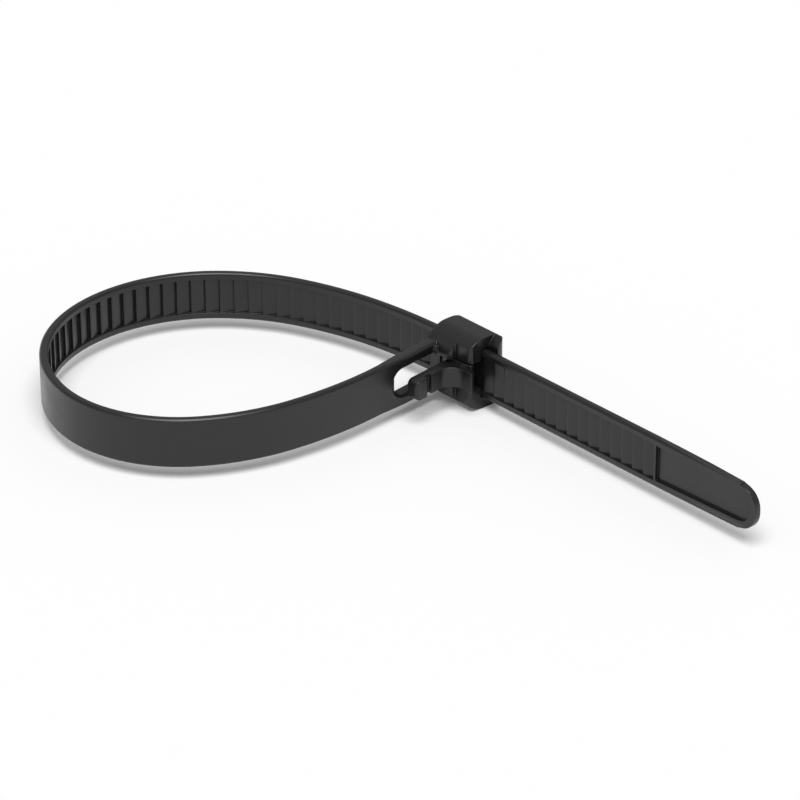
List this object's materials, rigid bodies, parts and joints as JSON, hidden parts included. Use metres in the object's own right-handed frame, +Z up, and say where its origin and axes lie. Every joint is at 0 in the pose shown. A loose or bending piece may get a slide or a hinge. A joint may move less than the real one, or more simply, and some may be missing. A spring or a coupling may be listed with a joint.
{
  "type": "cable tie",
  "caption": "Releasable nylon cable tie closed into a teardrop loop on its edge, its toothed tail through the head past a pawl with a thumb lever.",
  "frame": {"origin": "on the resting plane, under the middle of the slot, where the neck of the strap meets the head", "axes": "+X along the tail as it leaves the head, -Y along the neck towards the loop, +Z up across the strap's width"},
  "size_m": [0.1085, 0.057, 0.0116],
  "materials": {
    "nylon": "semi-gloss moulded nylon 6/6, black"
  },
  "bodies": {
    "root": {"cable_tie": "nylon"}
  },
  "joints": []
}
